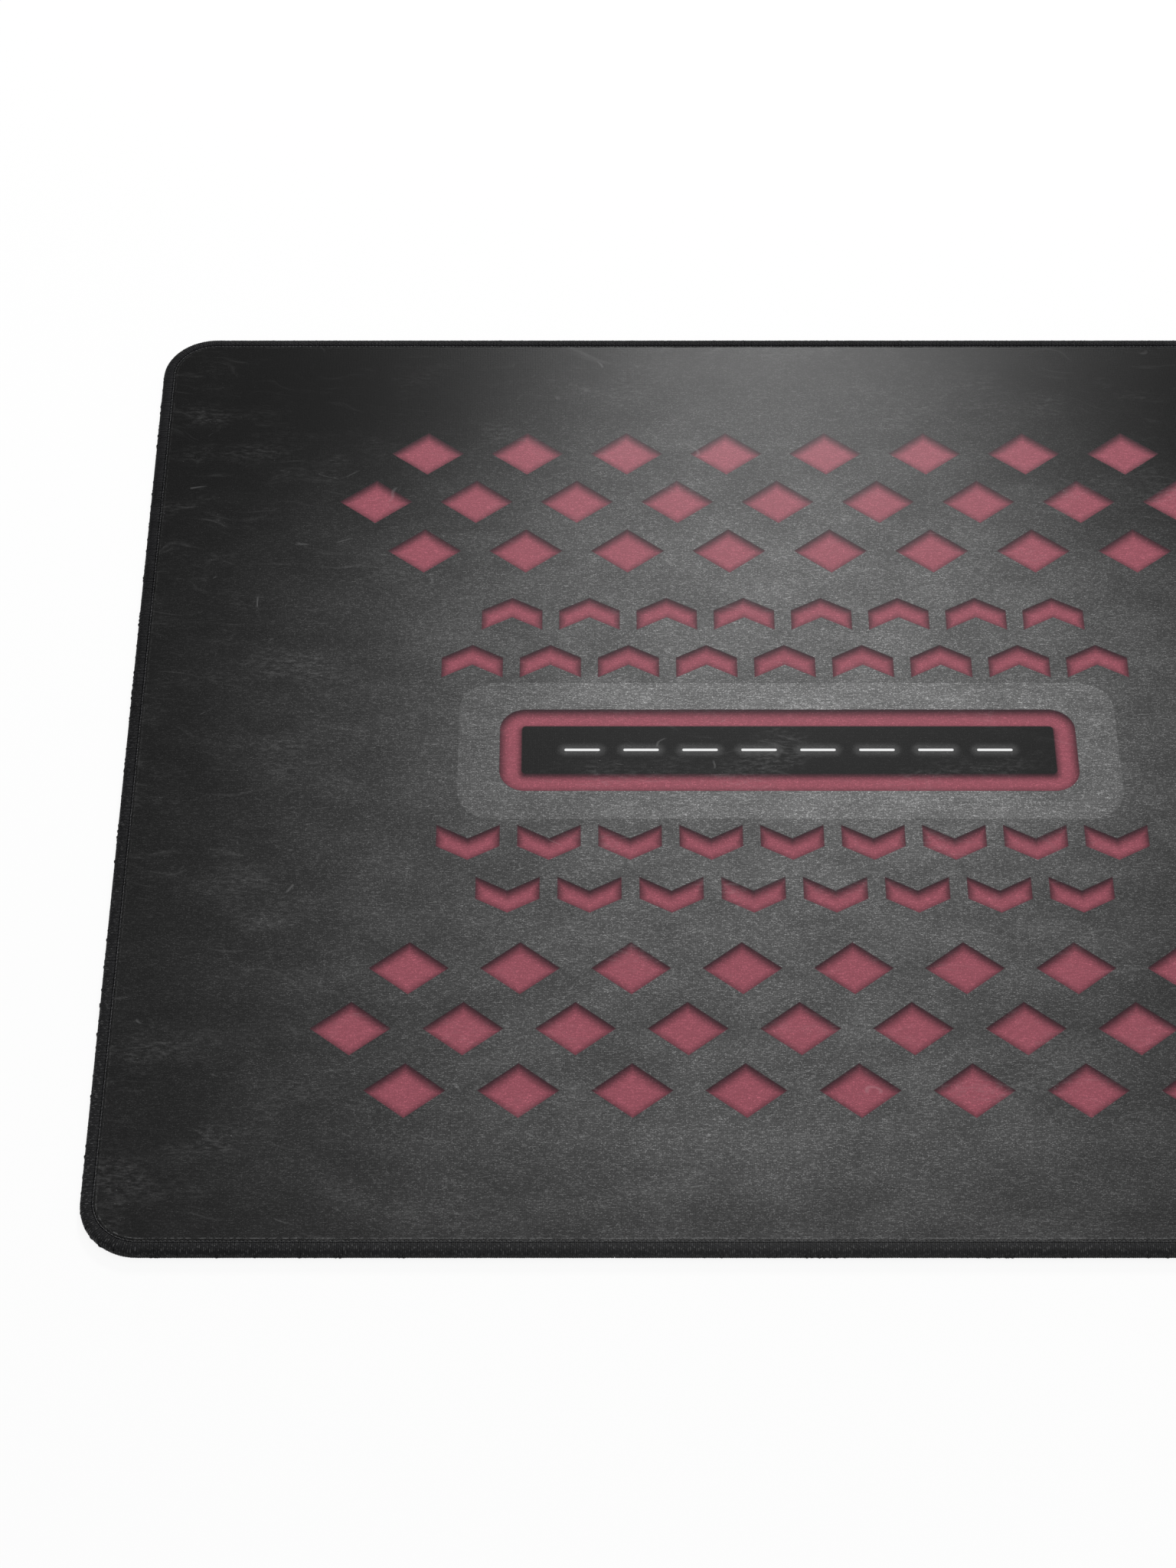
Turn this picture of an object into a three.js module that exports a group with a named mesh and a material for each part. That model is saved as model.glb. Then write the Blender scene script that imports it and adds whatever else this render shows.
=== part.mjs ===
// A cloth-faced mouse pad with an overlocked edge, in millimetres, +Z up.
// The origin is the middle of the underside, X runs along the long side and Y along the short side.
// A foam-rubber base carries a printed face cloth on a hot-melt film. The three layers are cut
// together, and three sewing threads bind the cut edge: a needle thread holds the seam line, an upper
// looper thread covers the top of the rim, and a lower looper thread covers its underside.

import * as THREE from 'three';

// Outside size of the finished pad, over the threads
const padWidth = 450;
const padDepth = 400;
const cornerRadius = 19;

// The layers as they are laminated, from the table up
const rubberThickness = 3.4;
const filmThickness = 0.1;
const clothThickness = 0.5;

// Sewing threads: the loopers lie side by side as one cover, the needle thread lies in the seam
const looperThickness = 0.45;
const needleThickness = 0.4;

// The overlocked rim: how far in the needle sews, and how round the threads pull the edge. The soft
// cloth side is drawn down into a wide round, and the rubber side keeps a tighter one.
const seamInset = 4;
const upperRoundWidth = 1.7;
const upperRoundHeight = 1.8;
const lowerRoundWidth = 0.9;
const lowerRoundHeight = 1;
const looperEndLength = 0.6;

// The dent that the needle thread pulls into the faces, and the cloth's rounded lip beside it
const needlePull = 0.25;
const lipWidth = 0.55;
const lipTurnShares = [0.2, 0.05];

// Clearances: threads to layers, and layer to layer where the stitches press them together
const threadSeat = 0.1;
const pressedGap = 0.05;

// Steps in the curves
const cornerSteps = 12;
const roundSteps = 6;
const lipSteps = 4;
const needleSides = 8;

const padThickness = rubberThickness + filmThickness + clothThickness;
const threadCover = looperThickness + threadSeat;
const needleRadius = needleThickness / 2;
const grooveDepth = threadCover + needlePull;
const grooveFloorHalf = needleRadius + threadSeat / 2;
const lipFoot = seamInset + grooveFloorHalf;

// The pad's outline, a rectangle with round corners, moved in from the outermost thread by inset.
// The corners keep their centres, so outlines at any two insets match point for point.
function outlineAt(inset) {
  const x = padWidth / 2 - cornerRadius;
  const y = padDepth / 2 - cornerRadius;
  const radius = cornerRadius - inset;
  const quarter = Math.PI / 2;
  const outline = new THREE.Path();
  outline.absarc(x, y, radius, 0, quarter, false);
  outline.absarc(-x, y, radius, quarter, 2 * quarter, false);
  outline.absarc(-x, -y, radius, 2 * quarter, 3 * quarter, false);
  outline.absarc(x, -y, radius, 3 * quarter, 4 * quarter, false);
  return outline.getPoints(cornerSteps / 2);
}

// Carries a section round the outline. Each section point is (inset, height), listed so that the
// outer face is climbed upwards. A closed section makes a ring, and an open one is capped flat
// at its first and last point, which makes a plate.
function sweepRound(section, closed) {
  const rings = section.map((point) => outlineAt(point.x).map((p) => [p.x, p.y, point.y]));
  const around = rings[0].length;
  const index = [];
  const bands = closed ? rings.length : rings.length - 1;
  for (let ring = 0; ring < bands; ring += 1) {
    const low = ring * around;
    const high = ((ring + 1) % rings.length) * around;
    for (let step = 0; step < around; step += 1) {
      const next = (step + 1) % around;
      index.push(low + step, low + next, high + next);
      index.push(low + step, high + next, high + step);
    }
  }
  if (!closed) {
    const cap = THREE.ShapeUtils.triangulateShape(outlineAt(section[0].x), []);
    const top = (rings.length - 1) * around;
    for (const [a, b, c] of cap) {
      index.push(c, b, a);
      index.push(top + a, top + b, top + c);
    }
  }
  const geometry = new THREE.BufferGeometry();
  geometry.setAttribute('position', new THREE.Float32BufferAttribute(rings.flat(2), 3));
  geometry.setIndex(index);
  geometry.computeVertexNormals();
  return geometry;
}

// How deep the stitches press a face in, from the seam's lip outwards to the round of the edge.
// The points are (inset, depth below the flat face). A face deeper in the pad has a wider lip.
function pressedFace(depthUnder, roundWidth) {
  const width = lipWidth + depthUnder;
  const lip = new THREE.QuadraticBezierCurve(
    new THREE.Vector2(lipFoot + width, 0),
    new THREE.Vector2(lipFoot + width * lipTurnShares[0], grooveDepth * lipTurnShares[1]),
    new THREE.Vector2(lipFoot, grooveDepth),
  );
  const grooveEnd = seamInset - grooveFloorHalf;
  return [
    ...lip.getPoints(lipSteps),
    new THREE.Vector2(grooveEnd, grooveDepth),
    new THREE.Vector2(grooveEnd - needlePull, threadCover),
    new THREE.Vector2(roundWidth, threadCover),
  ];
}

// The layers' cut edge is a round-cornered block just inside the threads: its inset at a height.
function cutEdgeInset(height) {
  const isUpper = height > padThickness / 2;
  const fromNearFace = isUpper ? padThickness - height : height;
  const wide = isUpper ? upperRoundWidth : lowerRoundWidth;
  const high = isUpper ? upperRoundHeight : lowerRoundHeight;
  const rise = Math.max(high - fromNearFace, 0) / (high - threadCover);
  const share = Math.sqrt(Math.max(1 - rise * rise, 0));
  return wide - (wide - threadCover) * share;
}

// The cut edge of one layer, between the heights of its pressed faces.
function cutEdge(low, high) {
  const points = [];
  for (let step = 1; step < roundSteps; step += 1) {
    const share = (1 - Math.cos((Math.PI * step) / roundSteps)) / 2;
    const height = low + (high - low) * share;
    points.push(new THREE.Vector2(cutEdgeInset(height), height));
  }
  return points;
}

// One face of a layer, as heights: depthUnder is how far it lies under the cloth's own face.
// The last point slides out to where the rounded cut edge crosses that face.
function layerFace(depthUnder, gap) {
  return pressedFace(depthUnder, upperRoundWidth).map((point, i, all) => {
    const height = padThickness - point.y - depthUnder - (i > 0 ? gap : 0);
    const isLast = i === all.length - 1;
    return new THREE.Vector2(isLast ? cutEdgeInset(height) : point.x, height);
  });
}

// A layer between two faces, from the lower one round its cut edge to the upper one.
function layer(lowerFace, upperFace) {
  const edge = cutEdge(lowerFace.at(-1).y, upperFace.at(-1).y);
  return sweepRound([...lowerFace, ...edge, ...upperFace.toReversed()], false);
}

// One looper's cover, from the line where both loopers lock, over the round of the edge,
// to the seam. The points are (inset, depth below the face that it covers), and the round of the
// edge is wide across and high.
function looperSection(wide, high) {
  const lockDepth = padThickness / 2;
  const endStart = seamInset - needleRadius - threadSeat - looperEndLength;
  const outward = Math.PI;
  const upward = Math.PI * 1.5;
  const section = new THREE.Path();
  section.moveTo(0, lockDepth);
  section.lineTo(0, high);
  section.absellipse(wide, high, wide, high, outward, upward, false);
  section.absellipse(endStart, looperThickness, looperEndLength, looperThickness, upward, 0, false);
  section.absellipse(wide, high, wide - looperThickness, high - looperThickness, upward, outward, true);
  section.lineTo(looperThickness, lockDepth);
  return section.getPoints(roundSteps / 2);
}

// The needle thread's round section, lying on the floor of the groove.
function needleSection() {
  const height = padThickness - grooveDepth + threadSeat + needleRadius;
  const section = new THREE.Path();
  section.absarc(seamInset, height, needleRadius, 0, Math.PI * 2, true);
  return section.getPoints(needleSides / 2).slice(0, -1);
}

// Materials
const foamRubber = new THREE.MeshStandardMaterial({ color: 0x1b1b1c, roughness: 0.85, metalness: 0 });
const hotMeltFilm = new THREE.MeshStandardMaterial({ color: 0xcfcabb, roughness: 0.4, metalness: 0 });
const printedCloth = new THREE.MeshStandardMaterial({ color: 0x4a4a4b, roughness: 0.9, metalness: 0 });
const needleYarn = new THREE.MeshStandardMaterial({ color: 0x202021, roughness: 0.7, metalness: 0 });
const upperYarn = new THREE.MeshStandardMaterial({ color: 0x262627, roughness: 0.7, metalness: 0 });
const lowerYarn = new THREE.MeshStandardMaterial({ color: 0x222223, roughness: 0.7, metalness: 0 });

const mousePad = new THREE.Group();

function addPiece(name, geometry, material) {
  const piece = new THREE.Mesh(geometry, material);
  piece.name = name;
  mousePad.add(piece);
}

// Faces of the layers. The lower looper presses the underside as the upper one does the cloth.
const clothTop = layerFace(0, 0);
const clothBottom = layerFace(clothThickness, 0);
const filmTop = layerFace(clothThickness, pressedGap);
const filmBottom = layerFace(clothThickness + filmThickness, pressedGap);
const rubberTop = layerFace(clothThickness + filmThickness, 2 * pressedGap);
const rubberBottom = pressedFace(0, lowerRoundWidth);

addPiece('rubber_base', layer(rubberBottom, rubberTop), foamRubber);
addPiece('bonding_film', layer(filmBottom, filmTop), hotMeltFilm);
addPiece('face_cloth', layer(clothBottom, clothTop), printedCloth);

// Threads. The upper looper's section is a depth below the cloth, turned into heights.
const upperLooper = looperSection(upperRoundWidth, upperRoundHeight)
  .map((point) => new THREE.Vector2(point.x, padThickness - point.y));
const lowerLooper = looperSection(lowerRoundWidth, lowerRoundHeight).toReversed();

addPiece('needle_thread', sweepRound(needleSection(), true), needleYarn);
addPiece('upper_looper_thread', sweepRound(upperLooper, true), upperYarn);
addPiece('lower_looper_thread', sweepRound(lowerLooper, true), lowerYarn);

export default mousePad;
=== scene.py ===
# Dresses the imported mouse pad: a printed cloth face on a foam-rubber base, with the three threads
# of its overlocked edge. Blender works in metres. Shapes and patterns are worked out here in
# millimetres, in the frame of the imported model, and brought to metres where a mesh is written.

import math

import bmesh
import bpy
import numpy as np
from mathutils import Matrix, Vector


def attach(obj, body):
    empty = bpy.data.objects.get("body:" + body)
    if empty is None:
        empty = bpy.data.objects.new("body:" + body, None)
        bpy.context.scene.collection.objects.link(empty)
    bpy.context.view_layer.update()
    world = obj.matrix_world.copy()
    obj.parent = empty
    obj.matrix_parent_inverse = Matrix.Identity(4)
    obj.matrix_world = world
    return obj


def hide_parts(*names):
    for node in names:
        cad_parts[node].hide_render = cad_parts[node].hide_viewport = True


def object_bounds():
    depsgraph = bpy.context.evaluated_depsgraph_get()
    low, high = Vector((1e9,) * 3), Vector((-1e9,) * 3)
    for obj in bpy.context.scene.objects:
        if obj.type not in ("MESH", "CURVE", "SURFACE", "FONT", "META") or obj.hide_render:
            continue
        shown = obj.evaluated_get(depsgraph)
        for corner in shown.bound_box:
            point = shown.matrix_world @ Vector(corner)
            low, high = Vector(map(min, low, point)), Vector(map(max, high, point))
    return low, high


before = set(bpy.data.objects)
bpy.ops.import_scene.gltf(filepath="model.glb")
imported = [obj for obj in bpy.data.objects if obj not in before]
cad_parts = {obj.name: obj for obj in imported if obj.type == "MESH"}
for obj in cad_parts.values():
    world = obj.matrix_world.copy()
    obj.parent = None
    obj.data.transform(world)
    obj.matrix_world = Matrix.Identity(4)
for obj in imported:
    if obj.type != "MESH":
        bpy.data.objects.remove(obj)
cad_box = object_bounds()


# Camera, lamps and floor
# The pad lies flat and is seen from in front and well above, with its right end out of the picture.
# A soft lamp behind it skims the cloth, a wide one hangs over it, and all round it is white.

scene = bpy.context.scene
scene.view_settings.view_transform = "Standard"

camera_place = (-0.0680, -0.8158, 0.9805)
camera_looks_down = 50.645

camera_settings = bpy.data.cameras.new("camera")
camera_settings.sensor_width = 36
camera_settings.lens = 86.13
camera = bpy.data.objects.new("camera", camera_settings)
camera.location = camera_place
camera.rotation_euler = (math.radians(90 - camera_looks_down), 0, 0)
scene.collection.objects.link(camera)
scene.camera = camera


def add_lamp(name, place, aim, size, power):
    """Adds a soft rectangular lamp that shines at a point."""
    settings = bpy.data.lights.new(name, "AREA")
    settings.shape = "RECTANGLE"
    settings.size, settings.size_y = size
    settings.energy = power
    lamp = bpy.data.objects.new(name, settings)
    lamp.location = place
    lamp.rotation_euler = (Vector(aim) - Vector(place)).to_track_quat("-Z", "Y").to_euler()
    scene.collection.objects.link(lamp)


add_lamp("back_lamp", place=(0.08, 1.38, 0.98), aim=(0, 0.02, 0), size=(0.3, 0.25), power=13.2)
add_lamp("top_lamp", place=(0, 0, 1.7), aim=(0, 0, 0), size=(2, 2), power=17)
fill_light = 0.28


class Field:
    """A number that varies over a surface. It is written like a number and worked out by nodes."""

    def __init__(self, socket):
        self.socket = socket

    def __add__(self, other):
        return calc("ADD", self, other)

    def __sub__(self, other):
        return calc("SUBTRACT", self, other)

    def __mul__(self, other):
        return calc("MULTIPLY", self, other)

    def __truediv__(self, other):
        return calc("DIVIDE", self, other)

    def __pow__(self, other):
        return calc("POWER", self, other)

    def __abs__(self):
        return calc("ABSOLUTE", self)


def add_node(tree, kind, inputs=None, **settings):
    """Adds a shader node. An input that varies is linked, and any other is set on the socket."""
    node = tree.nodes.new(kind)
    for name, value in settings.items():
        setattr(node, name, value)
    for name, value in (inputs or {}).items():
        if isinstance(value, Field):
            value = value.socket
        if isinstance(value, bpy.types.NodeSocket):
            tree.links.new(value, node.inputs[name])
        else:
            node.inputs[name].default_value = value
    return node


def calc(operation, *values):
    """One step of arithmetic on fields and numbers."""
    tree = next(value.socket.id_data for value in values if isinstance(value, Field))
    node = add_node(tree, "ShaderNodeMath", dict(enumerate(values)), operation=operation)
    return Field(node.outputs[0])


def larger(first, second):
    return calc("MAXIMUM", first, second)


def smaller(first, second):
    return calc("MINIMUM", first, second)


def fade(field, start, end, low=0.0, high=1.0):
    """Goes softly from low, where the field is at start, to high, where it is at end."""
    inputs = {"Value": field, "From Min": start, "From Max": end, "To Min": low, "To Max": high}
    tree = field.socket.id_data
    node = add_node(tree, "ShaderNodeMapRange", inputs, interpolation_type="SMOOTHSTEP")
    return Field(node.outputs["Result"])


def seen_by_eye(tree):
    """1 for rays that look, straight or by reflection or through glass, and 0 for rays of light."""
    rays = add_node(tree, "ShaderNodeLightPath").outputs
    mirrored = larger(Field(rays["Is Glossy Ray"]), Field(rays["Is Transmission Ray"]))
    return larger(Field(rays["Is Camera Ray"]), mirrored)


def mix_shaders(tree, share, first, second):
    """A surface that turns from the first shader to the second as share goes from 0 to 1."""
    mix = add_node(tree, "ShaderNodeMixShader", {"Fac": share, 1: first, 2: second})
    return mix.outputs["Shader"]


white = (1, 1, 1, 1)
world = bpy.data.worlds.new("white_room")
world.use_nodes = True
scene.world = world
room = world.node_tree
room.nodes.clear()
room_light = add_node(room, "ShaderNodeBackground", {"Color": white, "Strength": fill_light})
room_look = add_node(room, "ShaderNodeBackground", {"Color": white, "Strength": 1.0})
room_mix = mix_shaders(room, seen_by_eye(room), room_light.outputs[0], room_look.outputs[0])
add_node(room, "ShaderNodeOutputWorld", {"Surface": room_mix})

floor_half = 4
floor_paint = (0.95, 0.95, 0.95, 1)
floor_whiteness = 0.88
shadow_reach = 0.45
all_white_reach = 1.5
clear_gap = 0.004

floor_shape = bmesh.new()
bmesh.ops.create_grid(floor_shape, x_segments=1, y_segments=1, size=floor_half)
floor_mesh = bpy.data.meshes.new("floor")
floor_shape.to_mesh(floor_mesh)
floor_shape.free()
floor = bpy.data.objects.new("floor", floor_mesh)
scene.collection.objects.link(floor)

# Near the pad the floor keeps a soft shadow, and further off it is plain white. It is clear from
# below, and lets light through to the pad's underside.
floor_material = bpy.data.materials.new("floor")
floor_material.use_nodes = True
floor_tree = floor_material.node_tree
floor_tree.nodes.clear()
matte = add_node(floor_tree, "ShaderNodeBsdfDiffuse", {"Color": floor_paint}).outputs[0]
glow = add_node(floor_tree, "ShaderNodeEmission", {"Color": white, "Strength": 1.0}).outputs[0]
clear = add_node(floor_tree, "ShaderNodeBsdfTransparent").outputs[0]
floor_rays = add_node(floor_tree, "ShaderNodeLightPath").outputs
is_near = calc("LESS_THAN", Field(floor_rays["Ray Length"]), clear_gap)
is_under = Field(floor_rays["Is Diffuse Ray"]) * is_near
from_below = Field(add_node(floor_tree, "ShaderNodeNewGeometry").outputs["Backfacing"])
floor_place = add_node(floor_tree, "ShaderNodeTexCoord").outputs["Object"]
from_pad = add_node(floor_tree, "ShaderNodeVectorMath", {0: floor_place}, operation="LENGTH")
reach = Field(from_pad.outputs["Value"])
whiteness = fade(reach, shadow_reach, all_white_reach, low=floor_whiteness)
floor_look = mix_shaders(floor_tree, seen_by_eye(floor_tree) * whiteness, matte, glow)
floor_surface = mix_shaders(floor_tree, larger(from_below, is_under), floor_look, clear)
add_node(floor_tree, "ShaderNodeOutputMaterial", {"Surface": floor_surface})
floor_mesh.materials.append(floor_material)


# Foam-rubber base
# A sheet of foamed natural rubber, moulded underneath with a fine non-slip pattern of diamonds. It
# is laminated to the cloth and cut with it, and the stitches press its rim thinner.

metres = 0.001
half_width, half_depth, pad_thickness = cad_box[1] / metres
corner_radius = 19
seam_inset = 4
cloth_thickness = 0.5
film_thickness = 0.1
thread_cover = 0.55
groove_depth = 0.8
groove_floor_half = 0.25
lip_width = 0.55
lip_turn_shares = (0.2, 0.05)
upper_round = (1.7, 1.8)
lower_round = (0.9, 1.0)
pressed_gap = 0.05

# The seam line goes round the pad from the left end of the front side: each straight stretch and
# each corner's quarter circle, with the centre that the corner turns about.
seam_radius = corner_radius - seam_inset
straight_width = 2 * (half_width - corner_radius)
straight_depth = 2 * (half_depth - corner_radius)
quarter = seam_radius * math.pi / 2
stretches = [straight_width, quarter, straight_depth, quarter] * 2
stations = np.cumsum([0, *stretches])
seam_length = stations[-1]
turn_x = np.array([-1, 1, 1, 1, 1, -1, -1, -1, -1]) * straight_width / 2
turn_y = np.array([-1, -1, -1, 1, 1, 1, 1, -1, -1]) * straight_depth / 2
turn_angle = np.radians([-90, -90, 0, 0, 90, 90, 180, 180, 270])


def rim_place(along, inset, height):
    """A place in the rim: how far along the seam line, how far in from the edge, and how high."""
    along, inset, height = np.broadcast_arrays(np.mod(along, seam_length), inset, height)
    angle = np.interp(along, stations, turn_angle)
    reach = corner_radius - inset
    x = np.interp(along, stations, turn_x) + reach * np.cos(angle)
    y = np.interp(along, stations, turn_y) + reach * np.sin(angle)
    return np.stack([x, y, height], axis=-1)


def add_piece(name, mesh, material, node):
    """Puts a finished mesh in the scene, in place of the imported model's node."""
    mesh.materials.append(material)
    piece = bpy.data.objects.new(name, mesh)
    scene.collection.objects.link(piece)
    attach(piece, "root")
    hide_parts(node)
    return piece


def pressed_face(depth_under, steps):
    """A face of a layer where the seam dents it: insets, and depths below the flat face."""
    foot = seam_inset + groove_floor_half
    end = seam_inset - groove_floor_half
    width = lip_width + depth_under
    share = np.linspace(0, 1, steps + 1)
    turn = 2 * share * (1 - share)
    inset = foot + width * ((1 - share) ** 2 + turn * lip_turn_shares[0])
    depth = groove_depth * (share**2 + turn * lip_turn_shares[1])
    rise = groove_depth - thread_cover
    return np.append(inset, [end, end - rise]), np.append(depth, [groove_depth, thread_cover])


def cut_edge(heights):
    """Insets of the layers' cut edge, a round-cornered block that the threads go round."""
    heights = np.asarray(heights)
    is_upper = heights > pad_thickness / 2
    wide = np.where(is_upper, upper_round[0], lower_round[0])
    high = np.where(is_upper, upper_round[1], lower_round[1])
    from_face = np.where(is_upper, pad_thickness - heights, heights)
    rise = np.maximum(high - from_face, 0) / (high - thread_cover)
    return wide - (wide - thread_cover) * np.sqrt(np.maximum(1 - rise**2, 0))


def swept_plate(inset, height):
    """A plate with a section swept round its rim. Rows of inset and height start underneath."""
    rows, columns = inset.shape
    plate = bmesh.new()
    bmesh.ops.create_grid(plate, x_segments=columns - 1, y_segments=rows - 1, size=1)
    places = rim_place(np.linspace(0, seam_length, columns), inset, height) * metres
    for vertex, place in zip(plate.verts, places.reshape(-1, 3)):
        vertex.co = place
    bmesh.ops.remove_doubles(plate, verts=plate.verts, dist=0.001 * metres)
    for face in plate.faces:
        face.smooth = True
    for face in bmesh.ops.holes_fill(plate, edges=plate.edges, sides=0)["faces"]:
        face.smooth = False
    bmesh.ops.recalc_face_normals(plate, faces=plate.faces)
    return plate


def parts_outside(shape, corners, inset):
    """The vertices of loose parts, of so many corners each, that reach past this inset."""
    places = np.array([vertex.co.xy for vertex in shape.verts]).reshape(-1, corners, 2) / metres
    spare = np.array([straight_width, straight_depth]) / 2
    beyond = np.linalg.norm(np.maximum(np.abs(places) - spare, 0), axis=2)
    is_outside = np.repeat((beyond > corner_radius - inset).any(axis=1), corners)
    return [vertex for vertex, out in zip(shape.verts, is_outside) if out]


stud_corners = 8
stud_side = 3.5
stud_crest_side = 2.75
stud_spacing = 5.1
stud_height = 0.25
stud_root = 0.05
border_width = 1.2
border_slope = 0.35
rubber_columns = 632
edge_start = 0.05
edge_heights = (1.0, 2.2)

under_inset, under_depth = pressed_face(0, 3)
top_inset, top_depth = pressed_face(cloth_thickness + film_thickness, 2)
top_height = pad_thickness - cloth_thickness - film_thickness - 2 * pressed_gap - top_depth
edge_height = np.array([thread_cover + edge_start, *edge_heights, top_height[-1]])
border = under_inset[0] + border_width
border_inset = [border + border_slope, border]
rubber_inset = [*border_inset, *under_inset, *cut_edge(edge_height), *top_inset[::-1]]
rubber_height = [stud_height, 0, *under_depth, *edge_height, *top_height[::-1]]
along_rim = np.ones(rubber_columns + 1)
rubber = swept_plate(np.outer(rubber_inset, along_rim), np.outer(rubber_height, along_rim))

# One pair of diamond studs is repeated over the underside, and those past its border are removed.
studs = bmesh.new()
for shift in (0, stud_spacing / 2):
    place = Vector((shift, shift, (stud_height + stud_root) / 2))
    bmesh.ops.create_cone(
        studs,
        cap_ends=True,
        segments=4,
        radius1=stud_crest_side / math.sqrt(2) * metres,
        radius2=stud_side / math.sqrt(2) * metres,
        depth=(stud_height + stud_root) * metres,
        matrix=Matrix.Translation((place - Vector((half_width, half_depth, 0))) * metres),
    )


def repeated(shape, name, counts, offsets):
    """Copies of a shape in rows, made by one array modifier for each direction."""
    mesh = bpy.data.meshes.new(name)
    shape.to_mesh(mesh)
    shape.free()
    holder = bpy.data.objects.new(name, mesh)
    scene.collection.objects.link(holder)
    for count, offset in zip(counts, offsets):
        copies = holder.modifiers.new("copies", "ARRAY")
        copies.count = count
        copies.use_relative_offset = False
        copies.use_constant_offset = True
        copies.constant_offset_displace = offset
    graph = bpy.context.evaluated_depsgraph_get()
    result = bpy.data.meshes.new_from_object(holder.evaluated_get(graph))
    bpy.data.objects.remove(holder)
    bpy.data.meshes.remove(mesh)
    return result


stud_counts = [math.ceil(2 * half / stud_spacing) for half in (half_width, half_depth)]
step = stud_spacing * metres
stud_field = repeated(studs, "studs", stud_counts, [(step, 0, 0), (0, step, 0)])
rows_of_studs = bmesh.new()
rows_of_studs.from_mesh(stud_field)
spare_studs = parts_outside(rows_of_studs, stud_corners, border + border_slope)
bmesh.ops.delete(rows_of_studs, geom=spare_studs, context="VERTS")
rows_of_studs.to_mesh(stud_field)
rows_of_studs.free()
rubber.from_mesh(stud_field)


def noise(x, y, z, grain, detail=2.0, roughness=0.5):
    """Random tones about 0.5, in grains of this size along each axis."""
    tree = x.socket.id_data
    steps = {0: x / grain[0], 1: y / grain[1], 2: z / grain[2]}
    vector = add_node(tree, "ShaderNodeCombineXYZ", steps).outputs[0]
    inputs = {"Vector": vector, "Scale": 1.0, "Detail": detail, "Roughness": roughness}
    return Field(add_node(tree, "ShaderNodeTexNoise", inputs).outputs[0])


def mix_colours(share, first, second):
    """One colour or field of colour turning into another as share goes from 0 to 1."""
    factor, colour_a, colour_b, result = 0, 6, 7, 2
    inputs = {factor: share, colour_a: first, colour_b: second}
    node = add_node(share.socket.id_data, "ShaderNodeMix", inputs, data_type="RGBA")
    return node.outputs[result]


def place_in_mm(tree):
    """The surface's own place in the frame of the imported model, as three fields."""
    place = add_node(tree, "ShaderNodeTexCoord").outputs["Object"]
    axes = add_node(tree, "ShaderNodeSeparateXYZ", {"Vector": place}).outputs
    return [Field(axis) / metres for axis in axes]


def new_finish(name):
    """A new material: the material and its node tree, for finish_surface to complete."""
    material = bpy.data.materials.new(name)
    material.use_nodes = True
    material.node_tree.nodes.clear()
    return material, material.node_tree


def finish_surface(tree, colour, roughness, gloss, relief, depth):
    """Completes a material from its colour, roughness, specular level and relief in millimetres."""
    inputs = {"Height": relief, "Distance": depth * metres, "Strength": 1.0}
    normal = add_node(tree, "ShaderNodeBump", inputs).outputs[0]
    inputs = {"Base Color": colour, "Roughness": roughness, "Specular IOR Level": gloss}
    shader = add_node(tree, "ShaderNodeBsdfPrincipled", {**inputs, "Normal": normal})
    add_node(tree, "ShaderNodeOutputMaterial", {"Surface": shader.outputs[0]})


crest_dark = (0.026, 0.026, 0.027, 1)
crest_light = (0.046, 0.046, 0.047, 1)
rubber_black_groove_shade = (0.006, 0.006, 0.0065, 1)

foam_rubber, tree = new_finish("foam_rubber")
x, y, z = place_in_mm(tree)
pores = noise(x, y, z, (0.5, 0.5, 0.5), detail=3)
bloom = noise(x, y, z, (30, 22, 30), detail=4, roughness=0.6)
# The rubber is near black except on the stud crests, which are lighter. This is partly wear on the
# crests and partly painted shade in the grooves, which brings out the relief. The crests are also
# mottled by bloom.
crest_colour = mix_colours(fade(bloom, 0.35, 0.7), crest_dark, crest_light)
rubber_colour = mix_colours(fade(z, 0.03, 0.18), crest_colour, rubber_black_groove_shade)
rubber_roughness = fade(pores, 0.3, 0.7, low=0.62, high=0.85)
finish_surface(tree, rubber_colour, rubber_roughness, gloss=0.2, relief=pores, depth=0.12)

rubber_mesh = bpy.data.meshes.new("rubber_base_moulded")
rubber.to_mesh(rubber_mesh)
rubber.free()
rubber_base = add_piece(
    "rubber_base_moulded", rubber_mesh, foam_rubber, node="rubber_base"
)


# Bonding film
# A hot-melt film that was rolled on hot between the rubber and the cloth. It lies inside the pad
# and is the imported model's own node, with a cloudy, waxy finish.

wax_dark = (0.56, 0.53, 0.44, 1)
wax_light = (0.68, 0.65, 0.56, 1)

hot_melt_film, tree = new_finish("hot_melt_film")
x, y, z = place_in_mm(tree)
clouds = noise(x, y, z, (9, 9, 9), detail=4, roughness=0.6)
film_colour = mix_colours(fade(clouds, 0.3, 0.7), wax_dark, wax_light)
film_roughness = fade(clouds, 0.3, 0.7, low=0.35, high=0.5)
finish_surface(tree, film_colour, film_roughness, gloss=0.4, relief=clouds, depth=0.05)
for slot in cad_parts["bonding_film"].material_slots:
    slot.material = hot_melt_film


# Face cloth
# A fine polyester weave, 0.5 mm thick. Heat has printed it with a cloudy dark ground, raspberry
# figures that look sunk in it, and a black bar of white dashes. Its rim dips under the stitches.

stitch_count = 1264
cloth_columns = 2 * stitch_count
lip_waver = 0.07
stitch_pull = 0.05
waves_round_rim = (5, 17, 41, 97, 223, 451)


def waver(along, seed):
    """An unevenness of about 1 that runs round the rim and closes on itself."""
    draws = np.random.default_rng(seed)
    waves = [
        np.sin(along * math.tau * turns / seam_length + draws.uniform(0, math.tau))
        for turns in waves_round_rim
    ]
    return sum(waves) / math.sqrt(len(waves))


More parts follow.
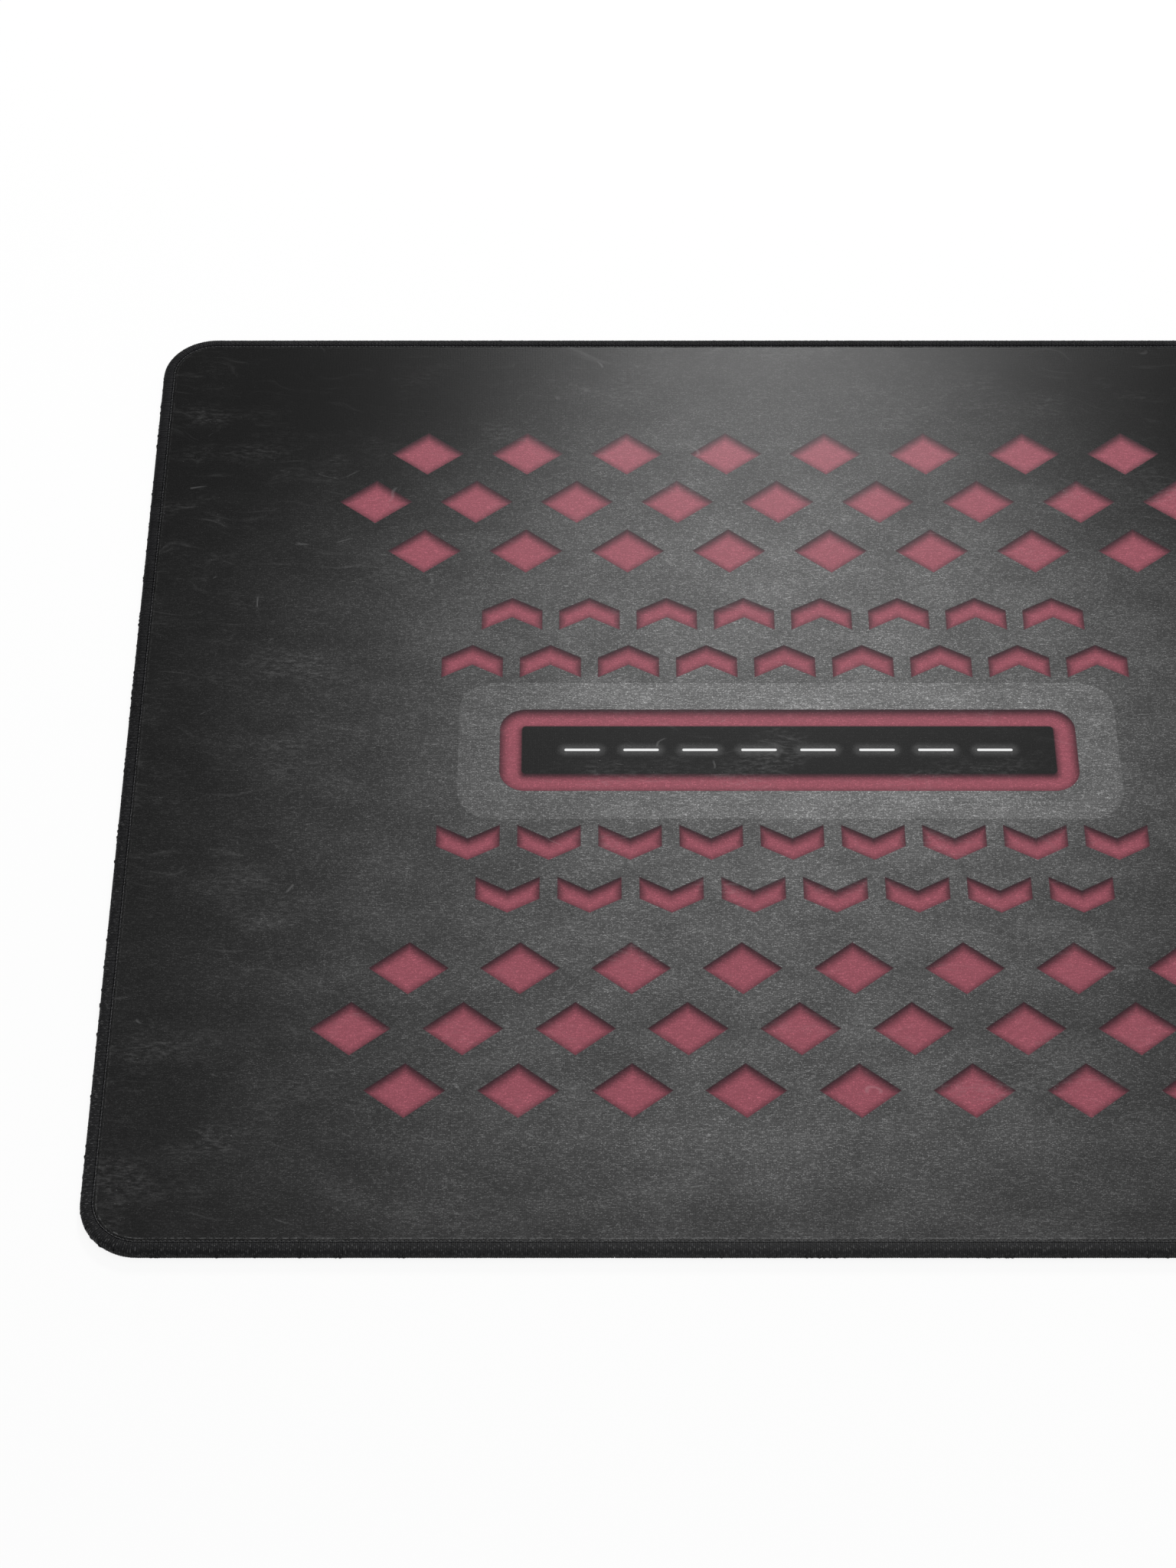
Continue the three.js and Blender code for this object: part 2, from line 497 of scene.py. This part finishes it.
under_inset, under_depth = pressed_face(cloth_thickness, 2)
under_height = pad_thickness - cloth_thickness - under_depth
top_inset, top_depth = pressed_face(0, 6)
top_height = pad_thickness - top_depth
edge_height = np.linspace(under_height[-1], top_height[-1], 4)
cloth_inset = np.array([*under_inset, *cut_edge(edge_height), *top_inset[::-1]])
cloth_height = np.array([*under_height, *edge_height, *top_height[::-1]])

# The rows of the lip waver with it, most of all where it is flat. The groove and the foot of the
# lip are drawn down at each needle hole, and bulge a little between two holes.
lip_shares = np.linspace(0.4, 1, 7)
dip_shares = (1, 1, 1, 0.7, 0.3, 0.1, 0, 0, 0)
at_hole, between_holes = 1.0, -0.5

along_rim = np.linspace(0, seam_length, cloth_columns + 1)
lip_share = np.zeros(len(cloth_inset))
lip_share[-len(lip_shares):] = lip_shares
dip_share = np.zeros(len(cloth_inset))
dip_share[-len(dip_shares):] = dip_shares
holes = np.where(np.arange(cloth_columns + 1) % 2 == 0, at_hole, between_holes)
cloth = swept_plate(
    cloth_inset[:, None] + lip_waver * np.outer(lip_share, waver(along_rim, seed=3)),
    cloth_height[:, None] - stitch_pull * np.outer(dip_share, holes),
)
cloth_mesh = bpy.data.meshes.new("face_cloth_printed")
cloth.to_mesh(cloth_mesh)
cloth.free()

printed_cloth, tree = new_finish("printed_cloth")
x, y, z = place_in_mm(tree)

figure_shift = 1.2
figure_shade_depth = 3.8
bar_half = (98, 18)
bar_round = 9
band_width = 7.5
panel_half = (112, 30)
panel_round = 12


def grey(tone):
    """A field of tone as a colour."""
    return mix_colours(tone, (0, 0, 0, 1), white)


def nearest(field, pitch):
    """The nearest middle in a row of figures at this pitch."""
    return calc("ROUND", field / pitch) * pitch


def round_bar(x, y, half, round_off):
    """Distance to a bar with round corners in the middle of the pad, below zero inside it."""
    over = larger(abs(x) - (half[0] - round_off), 0)
    above = larger(abs(y) - (half[1] - round_off), 0)
    return (over * over + above * above) ** 0.5 - round_off


def chevrons(x, y):
    """Distance to two staggered rows of chevrons on each side, which point away from the bar."""
    pitch, inner_row, row_gap, half, arm_half, rise, limit = 27, 40, 22, 10.6, 4, 0.55, 121
    row = calc("GREATER_THAN", abs(y), inner_row + row_gap / 2)
    slide = row * (pitch / 2)
    middle = nearest(x - slide, pitch) + slide
    across = abs(x - middle)
    from_arm = abs(abs(y) - row * row_gap + across * rise - (inner_row + rise * half / 2))
    chevron = larger(from_arm * math.cos(math.atan(rise)) - arm_half, across - half)
    return larger(chevron, abs(middle) - limit)


def diamonds(x, y):
    """Distance to three staggered rows of diamonds on each side of the pad."""
    pitch, middle_row, row_gap, limit = 36, 116, 24, 153
    half_wide, half_high = 13, 10.5
    row = smaller(larger(calc("ROUND", (abs(y) - middle_row) / row_gap), -1), 1)
    slide = abs(row) * (pitch / 2)
    middle = nearest(x - slide, pitch) + slide
    share = abs(x - middle) / half_wide + abs(abs(y) - middle_row - row * row_gap) / half_high
    diamond = (share - 1) * (half_wide * half_high / math.hypot(half_wide, half_high))
    return larger(diamond, abs(middle) - limit)


def figures(x, y):
    """Distance to the nearest raspberry figure, below zero inside it."""
    return smaller(round_bar(x, y, bar_half, bar_round), smaller(chevrons(x, y), diamonds(x, y)))


def bell(field, width, power=2.0):
    """1 where a field is 0, falling softly on both sides, to about a third at this width."""
    return calc("EXPONENT", (abs(field) / width) ** power * -1)


# The ground is printed lightest in the middle of the pad, with a faint second light along the
# front. It is darkest at the ends and in the back corners.
darkest_ground, middle_ground, front_ground = 0.003, 0.135, 0.019
light_row, light_to_back, light_to_front = 40, 120, -250
corner_shade = 0.92
past_row = y - light_row
row_light = bell(larger(past_row / light_to_back, past_row / light_to_front), 1)
light_middle = fade(abs(y - 20), 20, 110, low=14, high=-6)
light_half = larger(y, 0) ** 2 / -430 + 151
end_light = bell(x - light_middle, light_half, power=2.4)
front_light = bell(y + 160, 32) * bell(x, 130)
ground = row_light * end_light * middle_ground + front_light * front_ground + darkest_ground
dark_corner = bell(abs(x - 15) - 165, 55) * bell(y - 200, 70)
ground = ground * (dark_corner * -corner_shade + 1)

# It is smudged like a slate, and chalky dust lies on it: in patches, wiped wisps, specks and hairs.
patch_scuffs, patch_specks = 0.055, 0.14
wisp_tone, speck_tone, hair_tone = 0.03, 0.045, 0.05
clean_corner = 0.8
smudges = noise(x, y, z, (26, 15, 20), detail=4, roughness=0.58)
ground = ground * fade(smudges, 0.3, 0.7, low=0.84, high=1.18)
chalk = noise(x + 70, y, z, (42, 22, 30), detail=4, roughness=0.6)
chalk_patch = fade(chalk, 0.5, 0.72)
scuffs = fade(noise(x, y, z, (3.2, 1.1, 2), detail=5, roughness=0.7), 0.42, 0.72)
swirl = noise(x, y + 40, z, (60, 34, 50), detail=2)
wiped = y + x * 0.12 + swirl * 45
wisps = fade(noise(x, wiped, z, (26, 2.6, 9), detail=5, roughness=0.62), 0.58, 0.8)
specks = fade(noise(x, y, z, (0.7, 0.5, 0.5), detail=1), 0.72, 0.8)
hair_lines = fade(abs(swirl - 0.5), 0.0045, 0.001)
hairs = hair_lines * fade(noise(x, y, z + 30, (12, 9, 12)), 0.62, 0.7)
dust = chalk_patch * (scuffs * patch_scuffs + specks * patch_specks)
dust = dust + wisps * wisp_tone + specks * speck_tone + hairs * hair_tone
dust = dust * (dark_corner * -clean_corner + 1)


def draw(column, row):
    """A random number from 0 to 1 for each whole column and row."""
    vector = add_node(tree, "ShaderNodeCombineXYZ", {0: column, 1: row}).outputs[0]
    return Field(add_node(tree, "ShaderNodeTexWhiteNoise", {"Vector": vector}).outputs["Value"])


# The weave shows as a fine lattice. Each row of weft floats is a line of dashes of many tones.
weave_pitch = 0.62
weft_pitch = 0.3
float_length = 0.55
long_float_length = 1.7
row_slide = 9
lattice = calc("SINE", x * (math.tau / weave_pitch)) + calc("SINE", y * (math.tau / weave_pitch))
across_row = y / weft_pitch
row = calc("FLOOR", across_row)
# Painted shade on the round of each weft row: its floats are lightest in the middle and darker
# towards its edges.
row_round_painted_shade = fade(abs(calc("FRACT", across_row) - 0.5), 0.52, 0.12)


def weft_floats(length, slide):
    """The weft's own random tone on each float of this length, with painted shade at its ends and
    edges.
    """
    place = x / length + draw(row, slide) * row_slide
    float_round_painted_shade = fade(abs(calc("FRACT", place) - 0.5), 0.5, 0.25)
    return draw(calc("FLOOR", place), row + slide), float_round_painted_shade * row_round_painted_shade


lattice_tone, float_tone, long_float_tone = 0.07, 2.1, 0.9
short_tone, short_float_painted_shade = weft_floats(float_length, 0.5)
long_tone, long_float_painted_shade = weft_floats(long_float_length, 0.25)
floats = short_tone**5 * short_float_painted_shade
long_floats = fade(long_tone, 0.88, 0.97) * long_float_painted_shade
grain = noise(x, y, z, (0.36, 0.3, 0.4), detail=2)
streaks = noise(x, y, z, (3.4, 0.5, 2), detail=2)
cloth_tone = lattice * lattice_tone + floats * float_tone + long_floats * long_float_tone
cloth_tone = cloth_tone + fade(grain, 0.3, 0.7, low=0.53, high=0.93)
cloth_tone = cloth_tone * fade(streaks, 0.3, 0.7, low=0.82, high=1.18)

# A brushed panel lies round the bar, lighter than the ground.
panel = fade(round_bar(x, y, panel_half, panel_round), 0.25, -0.25)
brushing = noise(x, y, z, (16, 0.8, 4), detail=3)
panel_ground = ground * fade(brushing, 0.3, 0.7, low=1.2, high=1.5) + 0.01
base_tone = ground + panel * (panel_ground - ground)

# The figures look sunk: each is shaded along its back edges, and the band round the bar also along
# its inner edge.
raspberry_shade = (0.036, 0.015, 0.02, 1)
raspberry_light = (0.33, 0.089, 0.119, 1)
edge = figures(x, y)
sunk = figures(x, y + figure_shift)
is_figure = fade(edge, 0.2, -0.2)
inner_half = [half - band_width for half in bar_half]
inner_round = bar_round - band_width
inner_edge = round_bar(x, y, inner_half, inner_round)
band_shade = fade(round_bar(x, y + figure_shift, inner_half, inner_round), -1.2, 2.6)
glow = fade(sunk, figure_shift, -figure_shade_depth) * band_shade
raspberry = mix_colours(glow, raspberry_shade, raspberry_light)

# White dashes in the black bar, each with a faint halo
bar_black = 0.012
dash_white = (0.86, 0.86, 0.86, 1)
dash_pitch = 20
dash_half = 5.5
dash_round = 0.5
dash_row_half = 4 * dash_pitch
halo_tone = 0.05
from_middle = abs(x)
past_dash = from_middle - calc("FLOOR", from_middle / dash_pitch) * dash_pitch
along_dash = larger(abs(past_dash - dash_pitch / 2) - dash_half, 0)
dash_edge = (along_dash * along_dash + y * y) ** 0.5 - dash_round
in_row = calc("LESS_THAN", from_middle, dash_row_half)
dash = fade(dash_edge, 0.2, -0.2) * in_row
halo = fade(dash_edge, 3.2, 0) * in_row * halo_tone

# The print lies in the weave, which shows less on the figures.
figure_evenness = 0.65
even_tone = 0.93
colour = mix_colours(is_figure, grey(base_tone), raspberry)
colour = mix_colours(fade(inner_edge, 0.3, -0.3), colour, grey(halo + bar_black))
cloth_tone = cloth_tone + is_figure * figure_evenness * (cloth_tone * -1 + even_tone)
woven = add_node(tree, "ShaderNodeVectorMath", {0: colour, "Scale": cloth_tone}, operation="SCALE")
colour = mix_colours(dash, woven.outputs[0], dash_white)

# The seam's lip is lighter, in dots, where the cloth bends down to the stitches. This is partly
# rubbed wear on the stretched print and partly a painted highlight on the lip's round. It is lightest
# along the front.
lip_inset = 5.16
lip_tone, front_lip_tone = 0.02, 0.1
inset = round_bar(x, y, (half_width, half_depth), corner_radius) * -1
wear_and_highlight_spots = fade(noise(x, y, z, (0.9, 0.9, 0.9), detail=1), 0.4, 0.62)
lip_highlight_tone = fade(y, -172, -192, low=lip_tone, high=front_lip_tone)
lip_wear_and_highlight = fade(abs(inset - lip_inset), 0.19, 0.05) * wear_and_highlight_spots * lip_highlight_tone
dust_and_lip_highlight = add_node(tree, "ShaderNodeVectorMath", {0: colour, 1: grey(dust + lip_wear_and_highlight)}, operation="ADD")
relief = lattice * 0.15 + floats * 0.4 + grain * 0.5
cloth_roughness = fade(grain, 0.3, 0.7, low=0.24, high=0.32)
finish_surface(tree, dust_and_lip_highlight.outputs[0], cloth_roughness, gloss=0.055, relief=relief, depth=0.012)

face_cloth = add_piece(
    "face_cloth_printed", cloth_mesh, printed_cloth, node="face_cloth"
)
flat_size = [2 * (half - thread_cover) * metres for half in (half_width, half_depth)]
corner_loss = (4 - math.pi) * ((corner_radius - thread_cover) * metres) ** 2
flat_size[0] * flat_size[1] - corner_loss


# Needle thread
# A black polyester thread with a slight sheen, sewn in short straight stitches along the seam
# line. It draws the cloth down in a narrow groove on top and shows as small loops underneath.

stitch_pitch = seam_length / stitch_count
thread_sides = 6
strand_step = 7.3
needle_half = 0.2
needle_lift = 0.36
needle_height = pad_thickness - groove_depth + needle_lift + needle_half
needle_inset = seam_inset + 0.2
needle_dive = 0.24
loop_half = 0.15
loop_height = thread_cover - 0.05
loop_dive = -0.2


def take_attribute(mesh, name):
    """Reads whole numbers that were kept with the vertices, and removes them."""
    values = np.empty(len(mesh.vertices), np.float32)
    mesh.attributes[name].data.foreach_get("value", values)
    mesh.attributes.remove(mesh.attributes[name])
    return np.rint(values).astype(int)


def thread_runs(name, centres, side, half_across, half_up):
    """Short runs of thread along rows of points in the rim, wide along side and thick across it."""
    count, turns = centres.shape[:2]
    run = bmesh.new()
    for key in ("around", "turn"):
        run.verts.layers.float.new(key)
    around, turn = (run.verts.layers.float[key] for key in ("around", "turn"))
    bmesh.ops.create_grid(run, x_segments=thread_sides, y_segments=turns - 1, size=1)
    for step, vertex in enumerate(run.verts):
        vertex[turn], vertex[around] = divmod(step, thread_sides + 1)
        angle = vertex[around] * math.tau / thread_sides
        vertex.co = (math.cos(angle), math.sin(angle), vertex[turn])
    bmesh.ops.remove_doubles(run, verts=run.verts, dist=0.001)
    bmesh.ops.holes_fill(run, edges=run.edges, sides=0)
    bmesh.ops.recalc_face_normals(run, faces=run.faces)
    for face in run.faces:
        face.smooth = True
    mesh = repeated(run, name, [count], [(1, 0, 0)])

    step_vectors = np.gradient(centres, axis=1)
    forward = step_vectors / np.linalg.norm(step_vectors, axis=2, keepdims=True)
    across = side - (forward @ side)[..., None] * forward
    across /= np.linalg.norm(across, axis=2, keepdims=True)
    up = np.cross(forward, across)
    steps = np.linalg.norm(np.diff(centres, axis=1, prepend=centres[:, :1]), axis=2)
    lengths = np.cumsum(steps, axis=1)

    run_number = np.arange(len(mesh.vertices)) // (len(mesh.vertices) // count)
    where = run_number, take_attribute(mesh, "turn")
    angle = (take_attribute(mesh, "around") + 0.5) * math.tau / thread_sides
    half_across = np.broadcast_to(half_across, (count, turns))[where]
    half_up = np.broadcast_to(half_up, (count, turns))[where]
    reach_across = (np.cos(angle) * half_across)[:, None] * across[where]
    reach_up = (np.sin(angle) * half_up)[:, None] * up[where]
    places = rim_place(*(centres[where] + reach_across + reach_up).T) * metres
    mesh.vertices.foreach_set("co", places.astype(np.float32).ravel())

    # The strand attribute holds the place round the thread and the length along it. Each run's
    # length starts at its own multiple of strand_step, so that no two runs look the same.
    strand_length = lengths[where] + strand_step * run_number
    strand = np.stack([np.cos(angle), np.sin(angle), strand_length], axis=1)
    layer = mesh.attributes.new("strand", "FLOAT_VECTOR", "POINT")
    layer.data.foreach_set("vector", strand.astype(np.float32).ravel())
    mesh.update()
    return mesh


def yarn_finish(name, dark, light, gloss, roughness, crest_wear_and_highlight_share, dust):
    """Dyed polyester sewing thread: two twisted plies of fine fibres, rubbed and with painted
    highlights, lint and dust.
    """
    ply_twist = 1.1
    # The crests' grey is partly wear and partly a painted highlight.
    crest_highlight_grey, lint_grey, dust_grey = (0.2, 0.2, 0.2, 1), (0.5, 0.49, 0.48, 1), (0.3, 0.3, 0.3, 1)
    material, tree = new_finish(name)
    strand = add_node(tree, "ShaderNodeAttribute", attribute_name="strand").outputs["Vector"]
    axes = add_node(tree, "ShaderNodeSeparateXYZ", {"Vector": strand}).outputs
    across, up, length = (Field(axis) for axis in axes)
    plies = calc("SINE", calc("ARCTAN2", up, across) * 2 + length * (math.tau / ply_twist))
    fibres = noise(across, up, length, (0.5, 0.5, 0.6), detail=3)
    x, y, z = place_in_mm(tree)
    worn = noise(x, y, z, (7, 7, 7), detail=3)
    colour = mix_colours(fade(fibres * 0.6 + worn * 0.4, 0.38, 0.62), dark, light)

    # Each turn's crest is lighter in streaks, away from the seam and most of all along the front.
    # This is partly rubbed wear and partly a painted highlight, which fades towards the back. On the
    # strand, up points into the pad, except on the needle's loops underneath. So the crest is where
    # it is lowest.
    wear_and_highlight_spots = fade(noise(up * 0, up * 0, length, (1, 1, 1.4), detail=1), 0.48, 0.66)
    wear_and_highlight_spots = wear_and_highlight_spots * fade(y, -190, 150, low=1, high=0.1)
    from_seam = calc("MODULO", length, strand_step)
    crest_wear_and_highlight = fade(up, -0.7, -0.97) * wear_and_highlight_spots * fade(from_seam, 0.4, 1.6, low=0.25)
    colour = mix_colours(crest_wear_and_highlight * crest_wear_and_highlight_share, colour, crest_highlight_grey)
    lint = fade(noise(x, y, z, (0.5, 0.5, 0.5), detail=1), 0.74, 0.82) * 0.14
    colour = mix_colours(lint, colour, lint_grey)
    handled = fade(y, 60, -190) * bell(x, 200) * dust
    colour = mix_colours(handled, colour, dust_grey)
    shine = fade(fibres, 0.3, 0.7, low=roughness, high=roughness + 0.1)
    finish_surface(tree, colour, shine, gloss, relief=plies * 0.5 + fibres, depth=0.05)
    return material


def stitches(name, seed, half, height, dive, reach):
    """One stitch for each needle hole: an arc along the seam line whose ends go into the pad."""
    draws = np.random.default_rng(seed)
    share = np.linspace(-1, 1, 6)
    centres = np.zeros((stitch_count, len(share), 3))
    middles = (np.arange(stitch_count) + 0.5) * stitch_pitch
    centres[..., 0] = middles[:, None] + share * reach * stitch_pitch
    stitch_shift = draws.normal(0, 0.025, (stitch_count, 1))
    thread_waver = draws.normal(0, 0.012, (1, len(share)))
    centres[..., 1] = needle_inset + stitch_shift + thread_waver
    centres[..., 2] = height - dive * np.abs(share) ** 3
    widths = half * draws.uniform(0.92, 1.04, (stitch_count, 1))
    return thread_runs(name, centres, np.array([0.0, -1.0, 0.0]), widths, half)


needle_mesh = stitches(
    "needle_thread_stitches", 11, needle_half, needle_height, needle_dive, reach=0.5
)
loops_mesh = stitches("needle_loops", 12, loop_half, loop_height, loop_dive, reach=0.3)
needle_shape = bmesh.new()
needle_shape.from_mesh(needle_mesh)
needle_shape.from_mesh(loops_mesh)
needle_shape.to_mesh(needle_mesh)
needle_shape.free()

# The needle thread's colour is lighter than the loopers'. This is a painted highlight for the light
# line it shows along the groove.
needle_yarn = yarn_finish(
    "needle_yarn",
    dark=(0.011, 0.011, 0.012, 1),
    light=(0.032, 0.032, 0.034, 1),
    gloss=0.22,
    roughness=0.34,
    crest_wear_and_highlight_share=0.6,
    dust=0.2,
)
add_piece("needle_thread_stitches", needle_mesh, needle_yarn, "needle_thread")


# Lower looper thread
# One continuous black thread that crosses the underside of the rim twice in every stitch, from
# the needle's loops to the middle of the edge, where the upper looper thread holds it.

leg_count = 2 * stitch_count
leg_pitch = stitch_pitch / 2
leg_half_across = 0.47
leg_half_up = 0.225
seam_gather = 0.04
edge_gather = 0.05
leg_taper = np.array([0.8, 1.15, 1.15, 1.1, 1, 0.95, 0.95, 0.95, 0.9])
proud_share = 0.1
proud_reach = (0.08, 0.34)


def looper_legs(name, path, seed, first, count):
    """A stretch of a looper's turns. Its path is the inset and height from the seam to the edge."""
    draws = np.random.default_rng(seed)
    path = np.array(path)
    share = np.linspace(0, 1, len(path))
    legs = np.arange(first, first + count)
    towards = np.where(legs % 2 == 0, 1.0, -1.0)[:, None]
    gather = towards * (seam_gather * (1 - share) ** 2 - edge_gather * share**3)
    leg_shift = draws.uniform(-0.07, 0.07, (count, 1))
    edge_shift = draws.uniform(-0.04, 0.04, (count, 1)) * share
    centres = np.zeros((count, len(path), 3))
    centres[..., 0] = (legs[:, None] + 0.5) * leg_pitch + gather + leg_shift + edge_shift
    is_proud = draws.uniform(size=(count, 1)) < proud_share
    near_edge = np.exp(-(((share - 0.8) / 0.16) ** 2))
    proud = is_proud * draws.uniform(*proud_reach, (count, 1)) * near_edge
    centres[..., 1] = path[:, 0] + draws.uniform(0, 0.05, (count, 1)) * share - proud
    inward = np.sign(pad_thickness / 2 - path[:, 1].mean())
    dip = draws.uniform(0, 0.07, (count, 1)) * (1 - 0.4 * share)
    centres[..., 2] = path[:, 1] + inward * dip
    widths = leg_half_across * draws.uniform(0.9, 1.1, (count, 1)) * leg_taper
    side = np.array([inward, 0.0, 0.0])
    return thread_runs(name, centres, side, widths, leg_half_up * np.minimum(leg_taper, 1))


def add_looper(label, path, seed, material, node):
    """Both halves of a looper thread: along the front and right, and along the back and left."""
    count = leg_count // 2
    for half, place in enumerate(("front_right", "back_left")):
        name = f"{label}_{place}"
        mesh = looper_legs(name, path, seed + half, half * count, count)
        add_piece(name, mesh, material, node)


lower_path = [
    (3.9, 0.62), (3.5, 0.33), (3.0, 0.225), (2.0, 0.225), (0.9, 0.225),
    (0.42, 0.42), (0.225, 0.95), (0.225, 1.6), (0.28, 2.05),
]
lower_yarn = yarn_finish(
    "lower_looper_yarn",
    dark=(0.003, 0.003, 0.0035, 1),
    light=(0.007, 0.007, 0.008, 1),
    gloss=0.05,
    roughness=0.42,
    crest_wear_and_highlight_share=0.16,
    dust=0.065,
)
add_looper(
    "lower_looper_turns", lower_path, 21, lower_yarn, "lower_looper_thread"
)


# Upper looper thread
# One continuous black thread laid over the rim in the same way, from the needle's stitches over
# the round of the edge. Its turns stand close together as fine ridges across the border.

upper_path = [
    (3.9, 3.5), (3.6, 3.73), (3.1, 3.775), (1.8, 3.775), (1.1, 3.64),
    (0.56, 3.22), (0.29, 2.7), (0.225, 2.2), (0.28, 1.93),
]
upper_yarn = yarn_finish(
    "upper_looper_yarn",
    dark=(0.0035, 0.0035, 0.004, 1),
    light=(0.009, 0.009, 0.01, 1),
    gloss=0.05,
    roughness=0.4,
    crest_wear_and_highlight_share=0.32,
    dust=0.065,
)
add_looper(
    "upper_looper_turns", upper_path, 31, upper_yarn, "upper_looper_thread"
)
